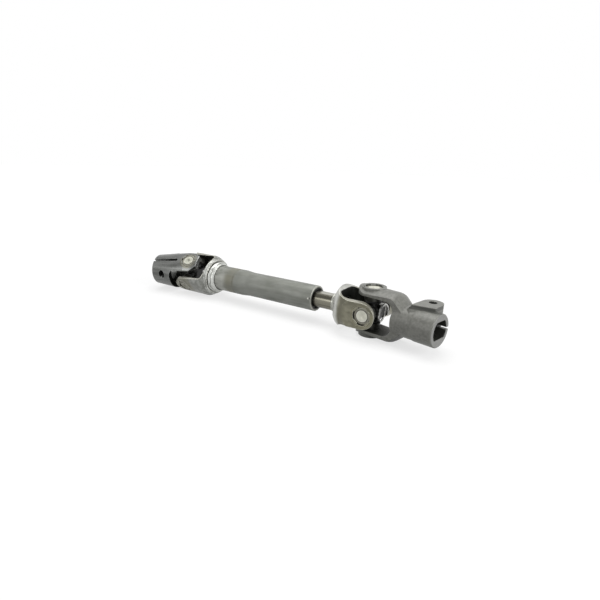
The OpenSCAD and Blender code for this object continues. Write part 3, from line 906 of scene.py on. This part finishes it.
def dress_bearings(cross: str, seals: str, needles: tuple[str, ...], centre: Axis) -> None:
    """Blackens a cross, and dresses the seals and needle rollers on it.

    Args:
        cross: CAD node of the cross.
        seals: CAD node of its seals.
        needles: CAD nodes of the needle rollers.
        centre: Axis that the patterns are set on.
    """
    black = Steel(f"{cross}_black", (0.022, 0.022, 0.02), (0.012, 0.012, 0.011), (0.12, 0.12, 0.11),
                  metallic=0.4, polish=(0.3, 0.5), depth=0.03 * MM, hollow=4 * MM)
    dress(black.material(centre), cross)
    rubber = Moulding(f"{seals}_rubber", (0.010, 0.010, 0.010), (0.022, 0.022, 0.021))
    dress(rubber.material(centre), seals)
    ground = Steel(f"{cross}_needle", (0.6, 0.6, 0.58), (0.45, 0.45, 0.43), BRIGHT, metallic=1.0,
                   polish=(0.12, 0.22), patch=2 * MM, depth=0.002 * MM, rounding=0.1 * MM)
    dress(ground.material(centre), *needles)


@dataclass
class ColumnEnd:
    """Column yoke, its cups and its cross.

    Attributes:
        socket: Axis of the split socket.
        trunnion: Axis of the yoke's cups.
    """

    socket: Axis = field(default_factory=lambda: mount_axis("column_clamp"))
    trunnion: Axis = TRUNNIONS["column"]

    def build(self) -> list[bpy.types.Object]:
        """Dresses the yoke, the cups and the bearings.

        Returns:
            No new piece.
        """
        line = Axis(self.trunnion.origin, self.socket.direction)
        tip = line.ends("column_yoke")[0]
        # Painted highlight on the end faces of the ears' tips
        end_face = Tint(stretch(line, -ANYWHERE, tip + 0.35 * MM, 0.15 * MM), BRIGHT, 0.85, 0.2)
        halo = Tint(ring(self.trunnion, 7.4 * MM, 9.0 * MM, 0.9 * MM), STRAW, 0.5, 0.4)
        tints = (halo, inner_shade(self.trunnion, 0.92), end_face)
        finish = Steel("column_yoke_steel", (0.175, 0.179, 0.172), (0.105, 0.108, 0.102), BRIGHT,
                       metallic=0.8, polish=(0.22, 0.36), grain=Grain.DRAWN, mark=0.35 * MM,
                       rounding=0.7 * MM, hollow=10 * MM, edge_highlight=0.35, tints=tints)
        dress(finish.material(self.socket), "column_yoke")
        cups = CupFinish((0.60, 0.60, 0.50), BROWN, 0.6)
        cups.dress(self.trunnion, "column_cup_upper", "column_cup_lower")
        dress_bearings("column_cross", "column_seals", ("column_yoke_needles", "tube_yoke_needles"),
                       Axis(self.trunnion.origin, TUBE_AXIS.direction))
        return []


@dataclass
class TubeAssembly:
    """Outer tube with its yoke, weld and bush.

    Attributes:
        trunnion: Axis of the yoke's cups.
        weld: The weld bead.
        ripples: The ripples on the yoke's bell.
        ears_to: Where the yoke's ears end, along the tube from the column joint.
        bleach_to: Where the weld's heat has stopped bleaching the tube.
        brown_at: Where its heat tint ends in a brown line.
        bore_r: Radius inside which the tube's mouth carries painted shade.
        dent_back: Distance of the staking dents from the mouth.
        dent_turns: Turns of two of the four dents about the tube, in degrees; the others lie opposite.
        dent_r: Radius of a dent's painted highlight and of its painted shade.
    """

    trunnion: Axis = TRUNNIONS["tube"]
    weld: WeldBead = field(default_factory=WeldBead)
    ripples: BellRipples = field(default_factory=BellRipples)
    ears_to: float = 26 * MM
    bleach_to: float = 53 * MM
    brown_at: float = 63 * MM
    bore_r: float = 10.1 * MM
    dent_back: float = 1.9 * MM
    dent_turns: tuple[float, ...] = (-10.0, 80.0)
    dent_r: float = 0.8 * MM

    def build(self) -> list[bpy.types.Object]:
        """Dresses the CAD nodes and lays the weld.

        Returns:
            The weld bead and the ripples before it.
        """
        self.dress_tube()
        self.dress_yoke()
        cups = CupFinish((0.27, 0.265, 0.20), BROWN, 0.3)
        cups.dress(self.trunnion, "tube_cup_front", "tube_cup_back")
        bush = Moulding("bush_plastic", (0.012, 0.012, 0.012), (0.03, 0.03, 0.028))
        dress(bush.material(TUBE_AXIS), "slide_bush")
        bead, ripples = self.weld.build(), self.ripples.build()
        bright = weld_skin("weld_bright", (0.62, 0.63, 0.60), (0.48, 0.49, 0.46))
        heated = weld_skin("weld_heated", (0.60, 0.61, 0.58), (0.36, 0.365, 0.34))
        bead.data.materials.append(bright.material(TUBE_AXIS))
        ripples.data.materials.append(heated.material(TUBE_AXIS))
        return [bead, ripples]

    def dress_tube(self) -> None:
        """Gives the tube a drawn finish with the weld's heat tints, a bright lip and painted shade in its bore."""
        mouth = TUBE_AXIS.ends("outer_tube")[1]
        tints = (
            Tint(stretch(TUBE_AXIS, -ANYWHERE, self.bleach_to, 4.5 * MM), (0.40, 0.405, 0.37), 0.85, 0.9),
            Tint(stretch(TUBE_AXIS, self.bleach_to, self.brown_at, 4 * MM), (0.185, 0.176, 0.125), 0.7, 0.6),
            Tint(stretch(TUBE_AXIS, self.brown_at - 0.8 * MM, self.brown_at + 0.8 * MM, 0.9 * MM),
                 (0.11, 0.105, 0.075), 0.7, 0.8),
            Tint(stretch(TUBE_AXIS, mouth - 0.5 * MM, ANYWHERE, 0.25 * MM), (0.5, 0.5, 0.45), 0.8, 0.3),
            # Painted shade inside the bore and over the inner part of the mouth's end face
            Tint(ring(TUBE_AXIS, -ANYWHERE, self.bore_r, 0.4 * MM), DARK, 0.95),
            *self.dents(mouth),
        )
        drawn = Steel("tube_steel", (0.238, 0.246, 0.222), (0.172, 0.178, 0.156), BRIGHT, metallic=0.45,
                      polish=(0.42, 0.58), grain=Grain.DRAWN, cloudy=0.65, mark=0.3 * MM,
                      rounding=0.35 * MM, tints=tints)
        dress(drawn.material(TUBE_AXIS), "outer_tube")

    def dents(self, mouth: float) -> list[Tint]:
        """Tints of the staking dents: painted shade in a hollow, with a painted highlight on the side away from
        the mouth.

        Args:
            mouth: Where the tube ends, along it from the column joint.

        Returns:
            Two tints for each pair of dents.
        """
        tints = []
        for turn in np.radians(self.dent_turns):
            outward = (0.0, -math.cos(turn), -math.sin(turn))
            # Painted highlight beside each dent, and painted shade in its hollow
            for shift, colour in ((self.dent_r, (0.66, 0.66, 0.60)), (-self.dent_r / 2, DARK)):
                along = (mouth - self.dent_back - shift) * Vector(TUBE_AXIS.direction)
                place = tuple(Vector(TUBE_AXIS.origin) + along)
                spot = ring(Axis(place, outward), -ANYWHERE, self.dent_r, 0.25 * MM)
                tints.append(Tint(spot, colour, 0.9))
        return tints

    def dress_yoke(self) -> None:
        """Gives the yoke a pressed finish: olive round its cups, a painted highlight on its rim, painted shade
        inside.
        """
        olive = Tint(ring(self.trunnion, 7.0 * MM, 14.0 * MM, 3.0 * MM), (0.17, 0.16, 0.105), 0.75, 0.3)
        ears = Limit(TUBE_AXIS, Measure.ALONG, -ANYWHERE, self.ears_to, 1.5 * MM)
        tints = (olive, rim_highlight(self.trunnion, ears, RIM, 0.45), inner_shade(self.trunnion, 0.92))
        pressed = Steel("tube_yoke_steel", (0.335, 0.34, 0.32), (0.19, 0.194, 0.176), RIM, metallic=0.55,
                        polish=(0.28, 0.44), patch=4 * MM, rounding=1.7 * MM, hollow=5 * MM, edge_highlight=1.0,
                        tints=tints)
        dress(pressed.material(TUBE_AXIS), "tube_yoke")


@dataclass
class SlideAssembly:
    """Rod, weld collar and shaft yoke.

    Attributes:
        trunnion: Axis of the yoke's cups.
        bend_at: Where the bright bend of the yoke ends, along the tube from the gear joint.
    """

    trunnion: Axis = TRUNNIONS["shaft"]
    bend_at: float = -22.5 * MM

    def build(self) -> list[bpy.types.Object]:
        """Dresses the rod, its collar, the yoke and its cups.

        Returns:
            No new piece.
        """
        self.dress_rod()
        self.dress_yoke()
        CupFinish(CREAM, BROWN, 0.1).dress(self.trunnion, "shaft_cup_near", "shaft_cup_far")
        return []

    def dress_rod(self) -> None:
        """Gives the rod a drawn finish, with a painted reflection that is bright on its top flat and dark on the
        round beside it, and dresses the collar.
        """
        upward = Axis(TUBE_AXIS.origin, (0.0, 0.0, 1.0))
        # Painted reflections: bright on the upward flat, dark on the upper round beside it
        flat = Tint((Limit(upward, Measure.FACING, 0.96, ANY_COSINE, 0.03),), (0.50, 0.49, 0.43), 0.7, 0.3)
        dark_reflection = Tint((Limit(upward, Measure.FACING, 0.45, 0.92, 0.08),), (0.045, 0.043, 0.033), 0.8, 0.3)
        rod = Steel("rod_steel", (0.190, 0.182, 0.146), (0.062, 0.059, 0.045), (0.40, 0.39, 0.33),
                    metallic=0.85, polish=(0.24, 0.36), grain=Grain.DRAWN, mark=0.3 * MM, depth=0.004 * MM,
                    rounding=0.45 * MM, hollow=6 * MM, corner_shade_share=0.8, tints=(flat, dark_reflection))
        dress(rod.material(TUBE_AXIS), "slide_rod")
        collar = Steel("collar_steel", (0.42, 0.425, 0.385), (0.30, 0.30, 0.265), BRIGHT,
                       grain=Grain.TURNED, depth=0.02 * MM, hollow=4 * MM, corner_shade_share=0.6)
        dress(collar.material(TUBE_AXIS), "rod_weld")

    def dress_yoke(self) -> None:
        """Gives the yoke an olive finish: painted highlights on its bend and rims, a painted shadow after the
        bend, painted shade inside.
        """
        gear_line = Axis(GEAR_CENTRE, TUBE_AXIS.direction)
        # Painted highlight on the bend
        bend = Tint(stretch(gear_line, -ANYWHERE, self.bend_at, 2 * MM), (0.66, 0.665, 0.63), 0.9, 0.2)
        shadow = Tint(stretch(gear_line, self.bend_at, self.bend_at + 6 * MM, 2.5 * MM),
                      (0.10, 0.096, 0.068), 0.6, 0.4)
        halo = Tint(ring(self.trunnion, 7.0 * MM, 9.6 * MM, 0.9 * MM), (0.2, 0.185, 0.11), 0.4, 0.5)
        ears = Limit(gear_line, Measure.ALONG, self.bend_at, ANYWHERE, 3 * MM)
        rim = rim_highlight(self.trunnion, ears, (0.48, 0.47, 0.40), 0.7)
        tints = (bend, shadow, halo, rim, inner_shade(self.trunnion, 0.95))
        strap = Steel("shaft_yoke_steel", (0.238, 0.229, 0.169), (0.145, 0.139, 0.100), (0.62, 0.61, 0.52),
                      metallic=0.55, polish=(0.3, 0.46), cloudy=0.65, rounding=0.9 * MM, hollow=5 * MM,
                      edge_highlight=0.9, tints=tints)
        dress(strap.material(TUBE_AXIS), "shaft_yoke")


@dataclass
class GearEnd:
    """Gear yoke, its cups, its cross and the spring.

    Attributes:
        clamp: Axis of the split clamp.
        trunnion: Axis of the yoke's cups.
        spring: The coil spring.
        bore_r: Radius inside which the clamp is its bore.
        step_from: Where the lug's painted shadow band begins, above the joint's centre.
        step_to: Where it ends.
        lug_from: Where the lug begins, along the clamp from the joint's centre.
    """

    clamp: Axis = field(default_factory=lambda: mount_axis("gear_clamp"))
    trunnion: Axis = TRUNNIONS["gear"]
    spring: SpringWire = field(default_factory=SpringWire)
    bore_r: float = 9.55 * MM
    step_from: float = 12.9 * MM
    step_to: float = 15.7 * MM
    lug_from: float = 34 * MM

    def build(self) -> list[bpy.types.Object]:
        """Dresses the CAD nodes and winds the spring.

        Returns:
            The spring.
        """
        line = Axis(GEAR_CENTRE, self.clamp.direction)
        cut = Tint(stretch(self.clamp, -0.25 * MM, ANYWHERE, 0.15 * MM), (0.30, 0.30, 0.29), 0.8)
        # Painted shadow on the front face of the lug
        step = Tint((*stretch(self.trunnion, self.step_from, self.step_to, 0.3 * MM),
                     *stretch(line, self.lug_from, ANYWHERE, 1 * MM)), (0.04, 0.042, 0.036), 0.85, 0.2)
        # Painted shade inside the clamp's bore
        bore = Tint((*ring(self.clamp, -ANYWHERE, self.bore_r, 0.1 * MM),
                     *stretch(self.clamp, -ANYWHERE, -0.3 * MM, 0.2 * MM)), DARK, 0.9)
        tints = (step, cut, bore, inner_shade(self.trunnion, 0.75))
        forged = Steel("gear_yoke_steel", (0.208, 0.209, 0.188), (0.150, 0.151, 0.134), (0.40, 0.40, 0.37),
                       metallic=0.12, polish=(0.36, 0.52), patch=2 * MM, mark=0.55 * MM, depth=0.04 * MM,
                       rounding=0.8 * MM, edge_highlight=0.6, tints=tints)
        dress(forged.material(self.clamp), "gear_yoke")
        CupFinish(CREAM, (0.33, 0.32, 0.26), 0.1).dress(self.trunnion, "gear_cup_top", "gear_cup_bottom")
        dress_bearings("gear_cross", "gear_seals", ("gear_yoke_needles", "shaft_yoke_needles"), line)
        wire = self.spring.build()
        self.spring.dress(wire)
        return [wire]


@dataclass
class PhotoView:
    """Camera at the photograph's viewing angle.

    Attributes:
        turn_deg: Turn about the vertical.
        height_deg: Angle above the horizon.
        roll_deg: Tilt of the picture.
        focal_px: Focal length in pixels of the picture.
        stand: Place of the camera from the column joint.
        near: Distance from which things are seen.
    """

    turn_deg: float = 33.677
    height_deg: float = 16.932
    roll_deg: float = 1.760
    focal_px: float = 450.0
    stand: Triple = (0.3520, -0.3258, 0.1141)
    near: float = 0.01

    def build(self) -> bpy.types.Object:
        """Sets the camera up: raised from the horizon, turned about the vertical, rolled about its view.

        Returns:
            The camera.
        """
        turn, height, roll = np.radians([self.turn_deg, self.height_deg, self.roll_deg])
        placed = (Matrix.Rotation(turn, 4, "Z") @ Matrix.Rotation(math.pi / 2 - height, 4, "X")
                  @ Matrix.Rotation(roll, 4, "Z"))
        placed.translation = Vector(TUBE_AXIS.origin) + Vector(self.stand)
        lens = bpy.data.cameras.new("photo_view")
        lens.sensor_width = SENSOR_MM
        lens.lens = SENSOR_MM * self.focal_px / IMAGE_PX
        lens.clip_start = self.near
        camera = bpy.data.objects.new("photo_view", lens)
        bpy.context.scene.collection.objects.link(camera)
        camera.matrix_world = placed
        bpy.context.scene.camera = camera
        return camera


@dataclass
class Softbox:
    """Square area lamp that faces the object.

    Attributes:
        name: Name of the lamp.
        place: Where it stands.
        width: Length of its side.
        watts: Its power.
    """

    name: str
    place: Triple
    width: float
    watts: float

    def build(self) -> None:
        """Hangs the lamp and turns it to the frame's origin."""
        lamp = bpy.data.lights.new(self.name, "AREA")
        lamp.energy = self.watts
        lamp.size = self.width
        holder = bpy.data.objects.new(self.name, lamp)
        bpy.context.scene.collection.objects.link(holder)
        holder.location = self.place
        holder.rotation_euler = Vector(self.place).to_track_quat("Z", "Y").to_euler()


@dataclass
class Studio:
    """Pale floor, soft lamps and a white surround.

    Attributes:
        floor_size: Length of the floor's side.
        floor_drop: Gap between the floor and the lowest point.
        floor_colour: Colour of the floor.
        floor_fleck: Colour of its fibres.
        fleck_share: How strong they are.
        fibre: Size of a fibre.
        floor_glow: Light that the floor adds to what is seen of it near the object.
        floor_fade: Distances between which that light grows to white.
        surround: Strength of the surround on dull surfaces.
        lamps: The lamps.
    """

    floor_size: float = 12.0
    floor_drop: float = 0.1 * MM
    floor_colour: Rgb = (0.3, 0.3, 0.3)
    floor_fleck: Rgb = (0.25, 0.25, 0.25)
    fleck_share: float = 0.06
    fibre: float = 4 * MM
    floor_glow: float = 0.7
    floor_fade: Pair = (0.22, 0.60)
    surround: float = 0.27
    lamps: tuple[Softbox, ...] = (
        Softbox("top_box", (-0.1, 0.12, 0.95), 0.8, 6.2),
        Softbox("front_box", (-0.45, -0.95, 0.36), 0.25, 1.5),
        Softbox("end_box", (0.95, -0.1, 0.5), 0.5, 4.4),
    )

    @staticmethod
    def seen(graph: Graph) -> Socket:
        """One for camera, glossy and transmitted rays, nothing for the rest.

        Args:
            graph: Graph that it is added to.

        Returns:
            The share's socket.
        """
        rays = graph.add("ShaderNodeLightPath").outputs
        mirrored = graph.math("MAXIMUM", rays["Is Camera Ray"], rays["Is Glossy Ray"])
        return graph.math("MAXIMUM", mirrored, rays["Is Transmission Ray"])

    def build(self) -> None:
        """Builds floor, surround and lamps."""
        self.lay_floor()
        self.hang_surround()
        for lamp in self.lamps:
            lamp.build()
        bpy.context.scene.view_settings.view_transform = "Standard"

    def lay_floor(self) -> None:
        """Lays one square below the object, dull and pale, that glows where it is seen, to white far off."""
        half = self.floor_size / 2
        level = CAD_BOX[0][2] - self.floor_drop
        corners = np.array([[-half, -half, level], [half, -half, level],
                            [half, half, level], [-half, half, level]])
        floor = add_piece("floor", corners, [[0, 1, 2, 3]])
        graph = Paint("floor_paper")
        fibres = graph.noise(graph.place, self.fibre, detail=3.0)
        flecks = graph.span(fibres, *FIBRE_SPAN, 0.0, self.fleck_share)
        pale = graph.mix(flecks, self.floor_colour, self.floor_fleck)
        away = graph.span(graph.vector("LENGTH", graph.place), *self.floor_fade, self.floor_glow, 1.0)
        glow = graph.math("MULTIPLY", self.seen(graph), away)
        graph.give(Base_Color=pale, Roughness=1.0, Emission_Color=(1.0, 1.0, 1.0), Emission_Strength=glow)
        floor.data.materials.append(graph.material)

    def hang_surround(self) -> None:
        """Hangs a surround that is white where it is seen and softer on dull surfaces."""
        world = bpy.data.worlds.new("surround")
        bpy.context.scene.world = world
        world.use_nodes = True
        graph = Graph(world.node_tree)
        shade = graph.tree.nodes["Background"].inputs
        graph.feed(shade["Color"], (1.0, 1.0, 1.0))
        graph.feed(shade["Strength"], graph.span(self.seen(graph), 0.0, 1.0, self.surround, 1.0))


def main() -> None:
    """Builds the sub-assemblies, the camera and the studio in order."""
    logging.basicConfig(level=logging.INFO, format="%(name)s: %(message)s")
    for assembly in (ColumnEnd(), TubeAssembly(), SlideAssembly(), GearEnd()):
        pieces = assembly.build()
        log.info("%s dressed", type(assembly).__name__)
        for piece in pieces:
            log.info("new piece %s", piece.name)
    PhotoView().build()
    Studio().build()
    log.info("sizes written")


if __name__ == "__main__":
    main()
